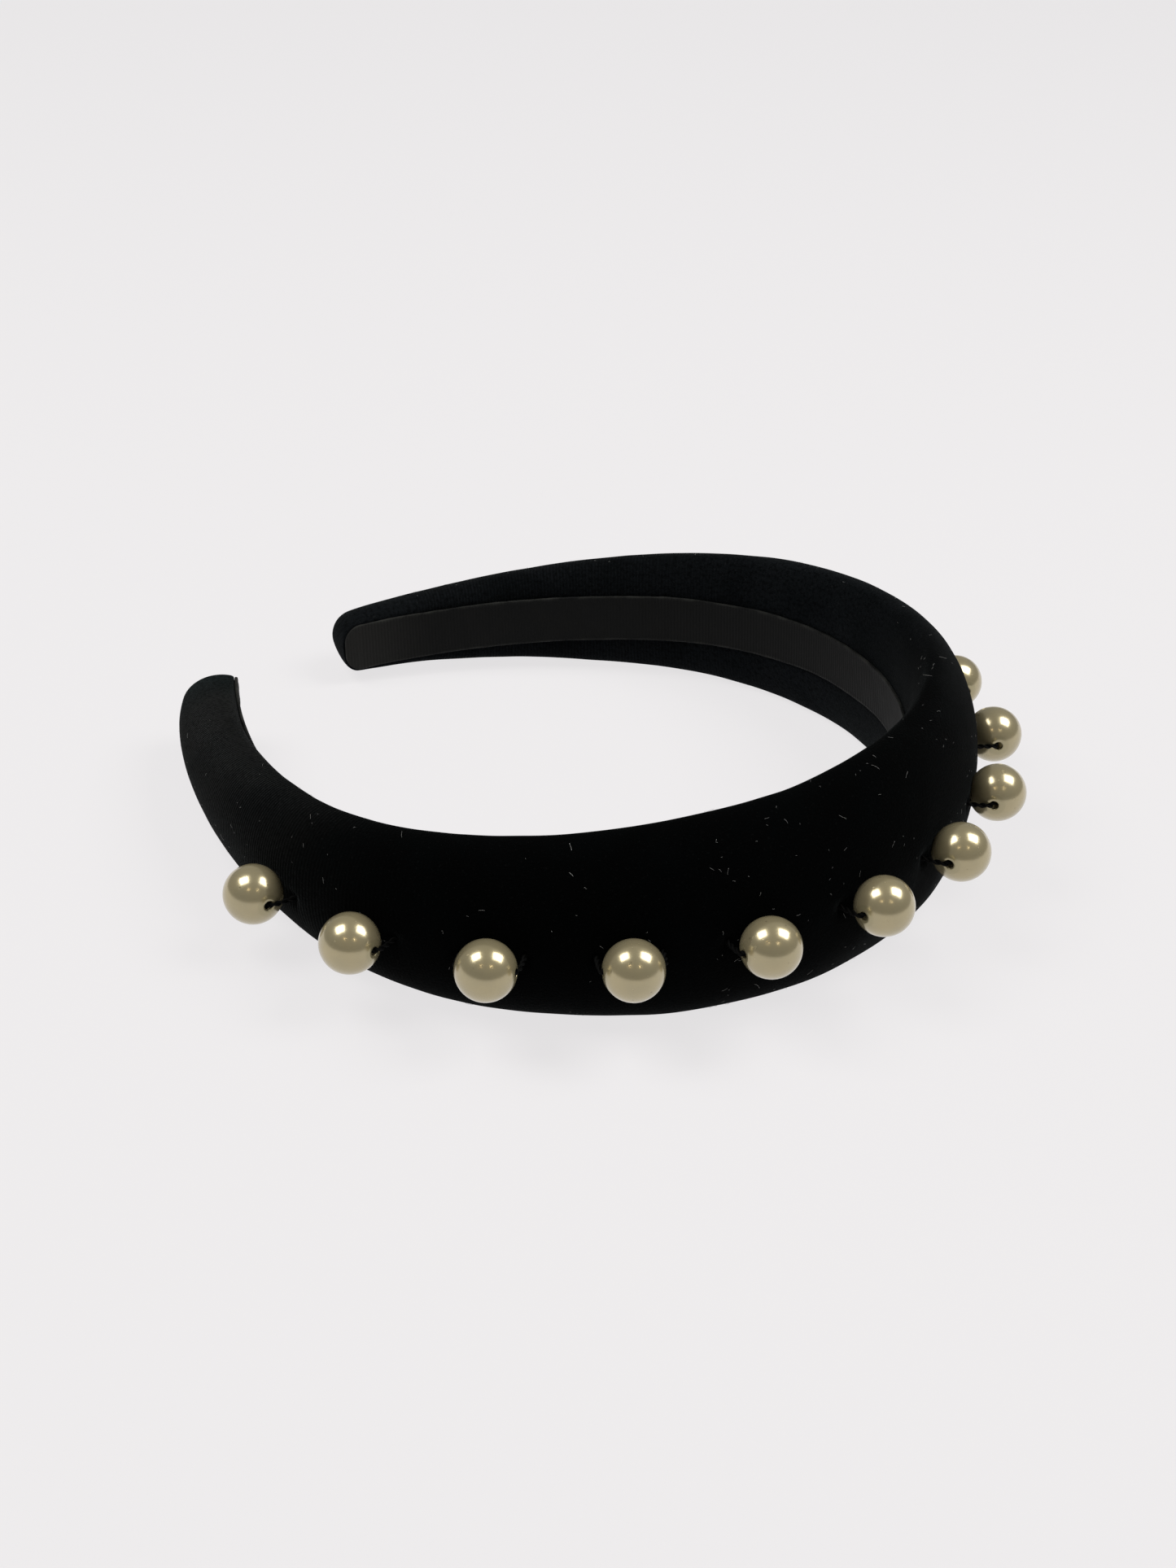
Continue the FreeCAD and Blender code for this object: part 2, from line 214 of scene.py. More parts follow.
floor_mesh = bpy.data.meshes.new("floor")
floor_corners = ((-1, -1), (1, -1), (1, 1), (-1, 1))
floor_mesh.from_pydata([(x * FLOOR_HALF, y * FLOOR_HALF, cad_low.z) for x, y in floor_corners],
                       [], [(0, 1, 2, 3)])
floor = bpy.data.objects.new("floor", floor_mesh)
bpy.context.scene.collection.objects.link(floor)
table_top = Finish("table_top")
paper_grain = table_top.node("TexNoise", {}, {"Scale": 900.0, "Detail": 3.0})
table_shade = table_top.mix(paper_grain * 0.04, FLOOR_COLOUR, FLOOR_FLECK)
floor_mesh.materials.append(table_top.surface(table_top.node("BsdfPrincipled", {}, {
    "Base Color": table_shade, "Roughness": 0.9, "Specular IOR Level": 0.0,
    "Emission Color": FLOOR_GLOW_TINT, "Emission Strength": FLOOR_GLOW})))

# ------------------------------------------------------------- velvet cover
# Black velvet, cut in one long piece, drawn tight over the foam and turned in
# under the ribbon. Each stitch of a bead pulls a small pucker into it.

# the head side's three tangent arcs on each side of the bend's middle: radius,
# degrees. The bend's middle lies a little to the right of the band's own.
ARCS = ((0.0592, 61.9), (0.0481, 50.8), (0.1100, 33.1))
BEND_SHIFT = 0.0022
HALF_LENGTH = sum(radius * math.radians(turn) for radius, turn in ARCS)
BEAD_PITCH = 0.0175
BEAD_RADIUS = 0.005
BEAD_DROP = 0.0011
BEAD_CLEARANCE = 0.0003
CROWN_BEAD_OUT = 0.01715

hinge = next(j for j in frame["joints"] if j["name"] == "left_shoulder_flex")
UP = Vector(hinge["axis"]) * math.copysign(1.0, hinge["axis"][2])
BACK = UP.cross(Vector((1, 0, 0)))


def from_bend(place, out, height):
    """Points of the band, measured from the middle of its bend."""
    place, out, height = np.broadcast_arrays(
        *(np.asarray(value, float) for value in (place, out, height)))
    bent = place - BEND_SHIFT
    x, y, heading = np.zeros((3,) + place.shape)
    left = np.abs(bent)
    for radius, turn in ARCS:
        longest = math.inf if radius == ARCS[-1][0] else math.radians(turn)
        step = np.minimum(longest, left / radius)
        x = x + radius * (np.sin(heading + step) - np.sin(heading))
        y = y + radius * (np.cos(heading) - np.cos(heading + step))
        heading = heading + step
        left = left - radius * step
    x = (x + out * np.sin(heading)) * np.where(bent < 0, -1.0, 1.0)
    y = y - out * np.cos(heading)
    return (x[..., None] * np.array((1.0, 0, 0))
            + y[..., None] * np.array(BACK) + height[..., None] * np.array(UP))


bead_low, bead_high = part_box("bead_7")
BEND_MIDDLE = (np.array((bead_low + bead_high) / 2)
               - from_bend(0.0, CROWN_BEAD_OUT, -BEAD_DROP))


# each arm beyond the beads is a little out of true: how far its tip stands up
# across the band's width, and out from the head
WARP_START = 0.100
LEFT_TIP_WARP = (0.0016, 0.0011)
RIGHT_TIP_WARP = (-0.0014, -0.0002)


def spots(place, out, height):
    """Points of the band, from their distance along its head side from the
    crown (left negative), out from that side, and up across its width."""
    for side, (up, away) in ((-1, LEFT_TIP_WARP), (1, RIGHT_TIP_WARP)):
        past = side * np.asarray(place) - WARP_START
        share = np.clip(past / (HALF_LENGTH - WARP_START), 0, 1) ** 2
        height = height + up * share
        out = out + away * share
    return BEND_MIDDLE + from_bend(place, out, height)


def tapered(place, crown, tip, power):
    """Falls from the crown's value to the tip's along each arm."""
    share = np.clip(np.abs(place) / HALF_LENGTH, 0, 1)
    return tip + (crown - tip) * np.maximum(np.cos(share * np.pi / 2), 0) ** power


# crown value, tip value and power of each taper
BAND_WIDTH = (0.03695, 0.0111, 1.17)
BAND_DEPTH = (0.01308, 0.00552, 0.135)
BEAD_BACKING = (0.01185, 0.0044, 0.14)
# the tips' rounding: how long it is, and how square on the left and the right
TIP_ROUNDING = 0.0040
TIP_SQUARE = {-1: 1.75, 1: 2.6}
RIBBON_BACK = 0.0006
# the least width and depth left at the very tip, as shares
TIP_WIDTH_LEFT = 0.02
TIP_DEPTH_LEFT = 0.76


def tip_share(place):
    """1 along the band, falling to 0 round the end of each tip."""
    into = np.clip((np.abs(place) - (HALF_LENGTH - TIP_ROUNDING)) / TIP_ROUNDING, 0, 1)
    square = TIP_SQUARE[-1 if place < 0 else 1]
    return (1 - into ** square) ** (1 / square)


def half_width(place):
    return tapered(place, *BAND_WIDTH) / 2


def padded_height(place):
    """How far the velvet stands out from the head side, at its crest."""
    return tapered(place, *BAND_DEPTH)


FLAT_HALF = 0.0048
FLAT_LIMIT = 0.88
WIDEST_SHARE = 0.275
SECTION_STEPS = 90


def half_section(place, inside, count):
    """Half of the padded section, from the middle of its head side to its
    crest: distances out and across, evenly spaced."""
    closing = tip_share(place)
    half = (half_width(place) - inside) * max(closing, TIP_WIDTH_LEFT)
    low = RIBBON_BACK + inside
    left_deep = TIP_DEPTH_LEFT + (1 - TIP_DEPTH_LEFT) * closing
    top = low + (padded_height(place) - inside - low) * left_deep
    flat = min(FLAT_HALF, FLAT_LIMIT * half)
    belt = low + WIDEST_SHARE * (top - low)
    turn = np.linspace(0, np.pi / 2, SECTION_STEPS)
    across = np.concatenate([[0.0], flat + (half - flat) * np.sin(turn), half * np.cos(turn[1:])])
    out = np.concatenate([[low], belt - (belt - low) * np.cos(turn),
                          belt + (top - belt) * np.sin(turn[1:])])
    run = np.concatenate([[0], np.cumsum(np.hypot(np.diff(across), np.diff(out)))])
    even = np.linspace(0, run[-1], count)
    return np.interp(even, run, out), np.interp(even, run, across), even


def padded_grid(places, inside, half_count):
    """Rows of points round the padded section, and each point's distance
    round it. A row starts at the middle of the head side."""
    outs, acrosses, rounds = [], [], []
    for place in places:
        out, across, even = half_section(place, inside, half_count)
        outs.append(np.concatenate([out, out[-2:0:-1]]))
        acrosses.append(np.concatenate([across, -across[-2:0:-1]]))
        rounds.append(np.concatenate([even, 2 * even[-1] - even[-2:0:-1]]))
    outs, acrosses, rounds = map(np.array, (outs, acrosses, rounds))
    return spots(np.array(places)[:, None], outs, acrosses), rounds


def outward(grid):
    """Unit normals of a grid of rows that close on themselves."""
    along = np.gradient(grid, axis=0)
    around = np.roll(grid, -1, axis=1) - np.roll(grid, 1, axis=1)
    normal = np.cross(around, along)
    return normal / np.maximum(np.linalg.norm(normal, axis=2, keepdims=True), 1e-12)


def ruffle(points, scale, seed):
    """Smooth noise from -1 to 1 at each point; scale is in metres."""
    shift = Vector((seed * 7.31, seed * 3.17, seed * 1.93))
    flat = points.reshape(-1, 3) / scale
    return np.array([noise.noise(Vector(p) + shift) for p in flat]).reshape(points.shape[:-1])


def bead_centre(number):
    """A bead's centre. The beads are numbered from -6, at the left, to 6."""
    place = number * BEAD_PITCH
    out = tapered(place, *BEAD_BACKING) + BEAD_CLEARANCE + BEAD_RADIUS
    return spots(place, out, -BEAD_DROP)


def steps(start, end, pitch):
    """Places from start to end, about a pitch apart."""
    return list(np.linspace(start, end, max(2, round(abs(end - start) / pitch) + 1)))


SPLIT = 0.04375
SPANS = {"left_arm": (-HALF_LENGTH, -SPLIT), "left_front": (-SPLIT, 0.0),
         "right_front": (0.0, SPLIT), "right_arm": (SPLIT, HALF_LENGTH)}
ROUNDING_ROWS = 16


def span_places(name, pitch, tip_gap=0.0):
    """The rows of one span of the band, closer together round a tip."""
    start, end = SPANS[name]
    if name.endswith("front"):
        return steps(start, end, pitch)
    straight = HALF_LENGTH - TIP_ROUNDING
    reach = TIP_ROUNDING - tip_gap
    arm = steps(SPLIT, straight, pitch)[:-1]
    arm += [straight + reach * math.sin(math.pi / 2 * i / ROUNDING_ROWS)
            for i in range(ROUNDING_ROWS + 1)]
    return arm if name == "right_arm" else [-p for p in reversed(arm)]


STITCH_REACH = 0.0052
PUCKER_DEPTH = 0.0008
PUCKER_SPREAD = 0.0012
SEAT_DEPTH = 0.00035
SEAT_SPREAD = 0.0048
SEAT_CLEARANCE = 0.00006
# no stitch or bead reaches a skin that is further away than this
SEWING_REACH = 0.02
FOLD_SHARE = 0.25
FOLD_LENGTH = 0.0022
FOAM_WAVE = 0.00022
FOAM_WAVE_LENGTH = 0.016
FOAM_RIPPLE_LENGTH = 0.006
FOAM_RIPPLE_SHARE = 0.3
SMALL_STEP = 0.001


def sewn(grid):
    """The velvet with the foam's unevenness, the stitches' puckers and the
    hollow that each bead presses."""
    normal = outward(grid)
    grid = grid + normal * (ruffle(grid, FOAM_WAVE_LENGTH, 1) * FOAM_WAVE)[..., None]
    ripple = ruffle(grid, FOAM_RIPPLE_LENGTH, 2) * FOAM_WAVE * FOAM_RIPPLE_SHARE
    grid = grid + normal * ripple[..., None]
    for number in range(-6, 7):
        centre = bead_centre(number)
        place = number * BEAD_PITCH
        ahead = spots(place + SMALL_STEP, 0, 0) - spots(place, 0, 0)
        ahead = ahead / np.linalg.norm(ahead)
        if np.linalg.norm(grid - centre, axis=2).min() > SEWING_REACH:
            continue
        skin_out = float(padded_height(place))
        foot = spots(place, skin_out, -BEAD_DROP)
        sink = SEAT_DEPTH * np.exp(-(np.linalg.norm(grid - foot, axis=2) / SEAT_SPREAD) ** 2)
        for side in (-1, 1):
            stitch = foot + ahead * side * STITCH_REACH
            gap = np.linalg.norm(grid - stitch, axis=2)
            folds = 1 + FOLD_SHARE * ruffle(grid, FOLD_LENGTH, 20 + number * 2 + side)
            sink = sink + PUCKER_DEPTH * folds * np.exp(-(gap / PUCKER_SPREAD) ** 2)
        grid = grid - normal * sink[..., None]
        arm = grid - centre
        away = np.linalg.norm(arm, axis=2, keepdims=True)
        reach = BEAD_RADIUS + SEAT_CLEARANCE
        grid = np.where(away < reach, centre + arm / away * reach, grid)
    return grid


def sheets(rows, columns, first=0, flip=False):
    """The quads of a grid of rows that close on themselves."""
    faces = []
    for i in range(rows - 1):
        for j in range(columns):
            k = (j + 1) % columns
            quad = (first + i * columns + j, first + i * columns + k,
                    first + (i + 1) * columns + k, first + (i + 1) * columns + j)
            faces.append(quad[::-1] if flip else quad)
    return faces


def add_piece(name, points, faces, material, smooth=True, cloth=None, sharp=()):
    """A mesh object. Cloth is each point's place and distance round, in
    metres, which the weave follows."""
    mesh = bpy.data.meshes.new(name)
    mesh.from_pydata([tuple(p) for p in points], [], faces)
    if cloth is not None:
        layer = mesh.uv_layers.new(name="cloth")
        corners = np.empty(len(mesh.loops), int)
        mesh.loops.foreach_get("vertex_index", corners)
        layer.data.foreach_set("uv", (np.asarray(cloth)[corners] * 1000).ravel())
    mesh.polygons.foreach_set("use_smooth", [smooth] * len(mesh.polygons))
    if len(sharp):
        ends = np.empty(len(mesh.edges) * 2, int)
        mesh.edges.foreach_get("vertices", ends)
        on_rim = np.isin(ends.reshape(-1, 2), np.asarray(sharp)).all(axis=1)
        mesh.edges.foreach_set("use_edge_sharp", on_rim)
    mesh.materials.append(material)
    piece = bpy.data.objects.new(name, mesh)
    bpy.context.scene.collection.objects.link(piece)
    return piece


# the two bodies that each span blends between, and the place where it flexes
INNER_FLEX = 0.02625
OUTER_FLEX = 0.06125
BLENDS = {"left_arm": ("left_arm", "left_shoulder", -OUTER_FLEX),
          "left_front": ("left_shoulder", "crown", -INNER_FLEX),
          "right_front": ("crown", "right_shoulder", INNER_FLEX),
          "right_arm": ("right_shoulder", "right_arm", OUTER_FLEX)}
STANDS_FOR = {"left_arm": ("left_arm",), "left_front": ("left_shoulder", "crown"),
              "right_front": ("right_shoulder",), "right_arm": ("right_arm",)}
BEND_HALF = 0.007
FLEX_OUT = 0.0024


def bend_with(piece, span, layer):
    """Bakes a piece's placement into its mesh, and hides the CAD parts of its layer that its span
    stands for.
    """
    first, second, place = BLENDS[span]
    start, end = (Vector(spots(place + side * BEND_HALF, FLEX_OUT, 0)) for side in (-1, 1))
    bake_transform(piece)
    if layer:
        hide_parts(*[layer + "_" + body for body in STANDS_FOR[span]])


velvet = Finish("black_velvet")
cloth = velvet.node("UVMap", {"uv_map": "cloth"})
cloth_place = velvet.node("SeparateXYZ", {}, {0: cloth})
RIB_PITCH_MM = 0.62
RIB_WAVER_MM = 0.5
VELVET_BLACK = (0.0003, 0.0004, 0.0004, 1)
# painted sheen: lighter base colours on the arms that stand in for the velvet's shine
LEFT_ARM_PAINTED_SHEEN = (0.0120, 0.0123, 0.0120, 1)
LEFT_TIP_PAINTED_SHEEN = (0.0070, 0.0125, 0.0130, 1)
RIGHT_ARM_PAINTED_SHEEN = (0.0052, 0.0062, 0.0072, 1)
CLOUD_TONE = (0.0006, 0.0011, 0.0013, 1)
FLECK_TONE = (0.030, 0.032, 0.032, 1)
PAINTED_GLINT_TONE = (0.016, 0.017, 0.017, 1)
PAINTED_RIB_SHADE = (0.0014, 0.0016, 0.0016, 1)
waver = velvet.node("TexNoise", {}, {"Vector": cloth, "Scale": 0.12, "Detail": 2.0})
ribs = velvet.node("Math", {"operation": "SINE"},
                   {0: (cloth_place + waver * RIB_WAVER_MM) * (2 * math.pi / RIB_PITCH_MM)})
from_crown = velvet.node("Math", {"operation": "ABSOLUTE"}, {0: cloth_place})
rib_share = from_crown.over(70.0, 125.0) * (1 - from_crown.over(150.0, 160.0))
pile = velvet.node("TexNoise", {}, {"Vector": cloth, "Scale": 3.2, "Detail": 4.0,
                                    "Roughness": 0.65})
tufts = velvet.node("TexVoronoi", {}, {"Vector": cloth, "Scale": 2.6})
clouds = velvet.node("TexNoise", {}, {"Vector": cloth, "Scale": 0.09, "Detail": 3.0})
flecks = velvet.node("TexNoise", {}, {"Vector": cloth, "Scale": 5.5, "Detail": 1.0})
flecks = flecks.over(0.68, 0.80)
# the pile leans one way along the whole strip, so the two arms shine differently; that shine is
# painted sheen in the base colour: grey on the left arm, teal at its tip, blue on the right arm
left_arm_sheen_share = (0 - cloth_place).over(84.0, 152.0)
left_tip_sheen_share = (0 - cloth_place).over(154.0, 168.0)
right_arm_sheen_share = cloth_place.over(15.0, 75.0)
sheen_painted_tone = velvet.mix(left_arm_sheen_share, VELVET_BLACK, LEFT_ARM_PAINTED_SHEEN)
sheen_painted_tone = velvet.mix(left_tip_sheen_share * 0.7, sheen_painted_tone, LEFT_TIP_PAINTED_SHEEN)
sheen_painted_tone = velvet.mix(right_arm_sheen_share, sheen_painted_tone, RIGHT_ARM_PAINTED_SHEEN)
velvet_tone = velvet.mix(clouds.over(0.35, 0.75) * 0.5, sheen_painted_tone, CLOUD_TONE)
velvet_tone = velvet.mix(flecks * 0.25, velvet_tone, FLECK_TONE)
# the pile stands in clumps: painted shade darkens the gaps between them, and a painted glint
# lights some
clump_gap_shade = velvet.node("TexNoise", {}, {"Vector": cloth, "Scale": 1.3, "Detail": 3.0,
                                     "Roughness": 0.7})
velvet_tone = velvet.mix(clump_gap_shade.over(0.42, 0.66) * 0.62, velvet_tone, VELVET_BLACK)
# painted glints: pale specks that stand in for highlights on the pile, most where the arms have
# painted sheen
painted_glints = velvet.node("TexNoise", {}, {"Vector": cloth, "Scale": 2.1, "Detail": 2.0})
painted_glint_share = left_arm_sheen_share * 0.8 + right_arm_sheen_share * 0.3 + 0.09
velvet_tone = velvet.mix(painted_glints.over(0.60, 0.74) * painted_glint_share, velvet_tone, PAINTED_GLINT_TONE)
# painted shade: darker stripes along the knit ribs on the arms, standing in for the ribs' shading
rib_stripe_shade = (ribs * 0.5 + 0.5) * rib_share
velvet_tone = velvet.mix(rib_stripe_shade * 0.55, velvet_tone, PAINTED_RIB_SHADE)
pile_height = pile * 0.8 + tufts * 0.35 + ribs * rib_share * 0.35
VELVET = velvet.surface(velvet.node("BsdfPrincipled", {}, {
    "Base Color": velvet_tone,
    "Roughness": 0.95,
    "Specular IOR Level": 0.02,
    "Sheen Weight": 0.026,
    "Sheen Roughness": 0.30,
    "Sheen Tint": (0.86, 0.97, 1.0, 1),
    "Normal": velvet.node("Bump", {}, {"Strength": 0.65, "Distance": 0.00025,
                                       "Height": pile_height})}))

VELVET_PITCH = 0.0006
VELVET_HALF_COUNT = 70
CLOTH_THICKNESS = 0.0009
# the lining's rows are this many times further apart than the velvet's
LINING_STRIDE = 8

# each span's places, skin and skin normals, for what lies on the velvet
skins = {}
for span in SPANS:
    places = span_places(span, VELVET_PITCH)
    grid, rounds = padded_grid(places, 0.0, VELVET_HALF_COUNT)
    grid = sewn(grid)
    skins[span] = (np.array(places), grid, outward(grid))
    rows, columns = grid.shape[:2]
    lining_places = places[::LINING_STRIDE]
    if places[-1] not in lining_places:
        lining_places.append(places[-1])
    lining_end = HALF_LENGTH - CLOTH_THICKNESS
    if span == "left_arm":
        lining_places[0] = -lining_end
        lining_places = [p for p in lining_places if abs(p) <= lining_end]
    if span == "right_arm":
        lining_places = [p for p in lining_places if abs(p) < lining_end]
        lining_places.append(lining_end)
    lining, lining_rounds = padded_grid(lining_places, CLOTH_THICKNESS * 2, VELVET_HALF_COUNT)
    inner_rows = len(lining_places)
    inner = rows * columns
    faces = sheets(rows, columns) + sheets(inner_rows, columns, inner, True)
    rims = []
    for outer_row, inner_row, tip in (
            (0, 0, span == "left_arm"), (rows - 1, inner_rows - 1, span == "right_arm")):
        outer_ring = [outer_row * columns + j for j in range(columns)]
        inner_ring = [inner + inner_row * columns + j for j in range(columns)]
        if tip:
            faces.append(outer_ring if outer_row else outer_ring[::-1])
            faces.append(inner_ring[::-1] if outer_row else inner_ring)
            continue
        for j in range(columns):
            k = (j + 1) % columns
            quad = (outer_ring[j], outer_ring[k], inner_ring[k], inner_ring[j])
            faces.append(quad if outer_row else quad[::-1])
        rims += outer_ring + inner_ring
    cloth_map = np.concatenate([
        np.stack([np.repeat(places, columns), rounds.ravel()], axis=1),
        np.stack([np.repeat(lining_places, columns), lining_rounds.ravel()], axis=1)])
    points = np.concatenate([grid.reshape(-1, 3), lining.reshape(-1, 3)])
    cover = add_piece("velvet_" + span, points, faces, VELVET, cloth=cloth_map, sharp=rims)
    bend_with(cover, span, "cover")

# ------------------------------------------------------------- foam padding
# A domed strip of soft foam, cut to a D section and glued round the core. It
# fills the velvet from inside and is never seen.

FOAM_INSIDE = 0.0021
FOAM_PITCH = 0.002
FOAM_HALF_COUNT = 26

foam = Finish("foam_padding")
foam_place = foam.node("TexCoord", {}, {}, 3)
cells = foam.node("TexVoronoi", {}, {"Vector": foam_place, "Scale": 1600.0})
# the foam's own tone, with painted shade darkening the hollow of each cell
foam_tone_and_pore_shade = foam.mix(cells.over(0.1, 0.6), (0.30, 0.29, 0.25, 1), (0.62, 0.60, 0.52, 1))
FOAM = foam.surface(foam.node("BsdfPrincipled", {}, {
    "Base Color": foam_tone_and_pore_shade, "Roughness": 0.95,
    "Normal": foam.node("Bump", {}, {"Strength": 0.6, "Distance": 0.0003, "Height": cells})}))

for span in SPANS:
    places = [p for p in span_places(span, FOAM_PITCH) if abs(p) <= HALF_LENGTH - FOAM_INSIDE]
    grid, _ = padded_grid(places, FOAM_INSIDE, FOAM_HALF_COUNT)
    rows, columns = grid.shape[:2]
    start_ring = list(range(columns))
    end_ring = list(range((rows - 1) * columns, rows * columns))
    faces = sheets(rows, columns) + [start_ring[::-1], end_ring]
    pad = add_piece("foam_pad_" + span, grid.reshape(-1, 3), faces, FOAM,
                    sharp=start_ring + end_ring)
    bend_with(pad, span, "foam")

# -------------------------------------------------------------- springy core
# A strip of black moulded plastic, tip to tip, with rounded edges and ends.
# It lies inside the cover and gives the band its grip.

CORE_HALF = 0.0040
CORE_LOW = 0.0017
CORE_HIGH = 0.0031
CORE_TIP_GAP = 0.0026
CORE_CORNER = 0.0032
CORE_EDGE_ROUND = 0.0006
CORE_PITCH = 0.002
CORE_COLUMNS = 8
CORNER_ROWS = 12


def strip_piece(name, places, reach, low, high, columns, edge_round, material, relief=None):
    """A flat strip along the band. Reach is each place's half width; relief
    moves the points of its head side, given places and distances across."""
    turn = np.linspace(0, np.pi, 5)[1:-1]
    face = np.linspace(-1, 1, columns)
    loops, cloth_map = [], []
    for place in places:
        half = reach(place)
        middle, thick = (low + high) / 2, (high - low) / 2
        near_across = face * (half - edge_round)
        far_across = near_across[::-1]
        right = half - edge_round + edge_round * np.sin(turn)
        across = np.concatenate([near_across, right, far_across, -right[::-1]])
        out = np.concatenate([np.full(columns, low), middle - thick * np.cos(turn),
                              np.full(columns, high), middle + thick * np.cos(turn)])
        if relief:
            out, across = relief(place, out, across, half)
        loops.append(spots(place, out, across))
        cloth_map.append(np.stack([np.full(len(across), place), across], axis=1))
    grid = np.array(loops)
    rows, around = grid.shape[:2]
    faces = sheets(rows, around, 0, True)
    first, last = list(range(around)), list(range((rows - 1) * around, rows * around))
    faces += [first, last[::-1]]
    return add_piece(name, grid.reshape(-1, 3), faces, material,
                     cloth=np.concatenate(cloth_map), sharp=first + last)


def strip_reach(half, corner, end):
    """Half width of a strip with rounded corners at its two ends."""
    def reach(place):
        left = max(end - abs(place), 0.0)
        if left >= corner:
            return half
        return half - corner + math.sqrt(max(corner ** 2 - (corner - left) ** 2, 0.0))
    return reach


plastic = Finish("core_plastic")
mottle = plastic.node("TexNoise", {}, {"Scale": 700.0, "Detail": 3.0})
PLASTIC = plastic.surface(plastic.node("BsdfPrincipled", {}, {
    "Base Color": plastic.mix(mottle, (0.012, 0.012, 0.013, 1), (0.025, 0.025, 0.026, 1)),
    "Roughness": mottle * 0.2 + 0.35,
    "Normal": plastic.node("Bump", {}, {"Strength": 0.2, "Distance": 0.0001,
                                        "Height": mottle})}))


def end_places(name, pitch, gap, corner):
    """Rows of one span of a strip that ends short of the tips."""
    if name.endswith("front"):
        return steps(*SPANS[name], pitch)
    end = HALF_LENGTH - gap
    arm = steps(SPLIT, end - corner, pitch)[:-1]
    arm += [end - corner + corner * math.sin(math.pi / 2 * i / CORNER_ROWS)
            for i in range(CORNER_ROWS + 1)]
    return arm if name == "right_arm" else [-p for p in reversed(arm)]


for span in SPANS:
    core_reach = strip_reach(CORE_HALF, CORE_CORNER, HALF_LENGTH - CORE_TIP_GAP)
    core = strip_piece("core_strip_" + span,
                       end_places(span, CORE_PITCH, CORE_TIP_GAP, CORE_CORNER),
                       core_reach, CORE_LOW, CORE_HIGH, CORE_COLUMNS, CORE_EDGE_ROUND, PLASTIC)
    bend_with(core, span, "core")

# ----------------------------------------------------------- lining ribbon
# Black grosgrain ribbon, glued over the velvet's turned-in edges from tip to
# tip. Its fine ribs run across it, and its woven edges wander a little.

RIBBON_HALF = 0.0047
RIBBON_THICK = 0.0005
RIBBON_CORNER = 0.0034
RIBBON_TIP_GAP = 0.0002
RIBBON_RIB = 0.00064
RIBBON_RELIEF = 0.000035
RIBBON_PITCH = 0.00016
RIBBON_COLUMNS = 30
RIBBON_EDGE_ROUND = 0.0002
WARP_PITCH_MM = 0.22
SELVEDGE = 0.0008
SELVEDGE_RAISED = 0.00006
EDGE_DRIFT = 0.00022
RIBBON_DARK = (0.0014, 0.0017, 0.0016, 1)
RIBBON_WORN = (0.0034, 0.0035, 0.0034, 1)
RIBBON_TIP_PAINTED_LIGHT = (0.013, 0.013, 0.012, 1)
SELVEDGE_FRAY_AND_HIGHLIGHT = (0.026, 0.027, 0.024, 1)

ribbon_weave = Finish("grosgrain_ribbon")
weave = ribbon_weave.node("UVMap", {"uv_map": "cloth"})
weave_place = ribbon_weave.node("SeparateXYZ", {}, {0: weave})
weave_across = ribbon_weave.node("SeparateXYZ", {}, {0: weave}, 1)
weft = ribbon_weave.node("Math", {"operation": "SINE"},
                         {0: weave_place * (2 * math.pi / (RIBBON_RIB * 1000))})
warp = ribbon_weave.node("Math", {"operation": "SINE"},
                         {0: weave_across * (2 * math.pi / WARP_PITCH_MM)})
ribbon_clouds = ribbon_weave.node("TexNoise", {}, {"Vector": weave, "Scale": 0.22, "Detail": 4.0})
from_middle = ribbon_weave.node("Math", {"operation": "ABSOLUTE"}, {0: weave_across})
ribbon_from_crown = ribbon_weave.node("Math", {"operation": "ABSOLUTE"}, {0: weave_place})
# a lighter line along both woven edges: partly frayed fibres and glue, partly a painted highlight
# on the raised edges
edge_fray_and_highlight = from_middle.over(4.1, 4.5) * ribbon_clouds.over(0.35, 0.7)
ribbon_tone = ribbon_weave.mix(ribbon_clouds.over(0.3, 0.8), RIBBON_DARK, RIBBON_WORN)
# painted light: the ribbon's colour is lightened towards each tip
ribbon_tone = ribbon_weave.mix(ribbon_from_crown.over(150.0, 168.0) * 0.8, ribbon_tone,
                               RIBBON_TIP_PAINTED_LIGHT)
ribbon_tone = ribbon_weave.mix(edge_fray_and_highlight * 0.6, ribbon_tone, SELVEDGE_FRAY_AND_HIGHLIGHT)
RIBBON = ribbon_weave.surface(ribbon_weave.node("BsdfPrincipled", {}, {
    "Base Color": ribbon_tone,
    "Roughness": ribbon_clouds * 0.2 + 0.55,
    "Specular IOR Level": 0.12,
    "Sheen Weight": 0.008,
    "Sheen Roughness": 0.5,
    "Normal": ribbon_weave.node("Bump", {}, {
        "Strength": 0.4, "Distance": 0.00008,
        "Height": weft * 0.5 + warp * 0.25 + ribbon_clouds * 0.6})}))


def ribbon_relief(place, out, across, half):
    """Ribs on the ribbon, a raised woven edge, and edges that wander."""
    rib = RIBBON_RELIEF * math.cos(2 * math.pi * place / RIBBON_RIB)
    inner = out < RIBBON_THICK / 2
    edge = np.clip((np.abs(across) - half + SELVEDGE) / SELVEDGE, 0, 1)
    out = out + np.where(inner, rib - SELVEDGE_RAISED * edge, 0.0)
    drift = np.array([noise.noise(Vector((place * 90, side * 11.0, 3.0)))
                      + 0.3 * noise.noise(Vector((place * 420, side * 5.0, 8.0)))
                      for side in (-1, 1)]) * EDGE_DRIFT
    across = across + np.where(across < 0, drift[0], drift[1]) * np.abs(across) / RIBBON_HALF
    return out, across


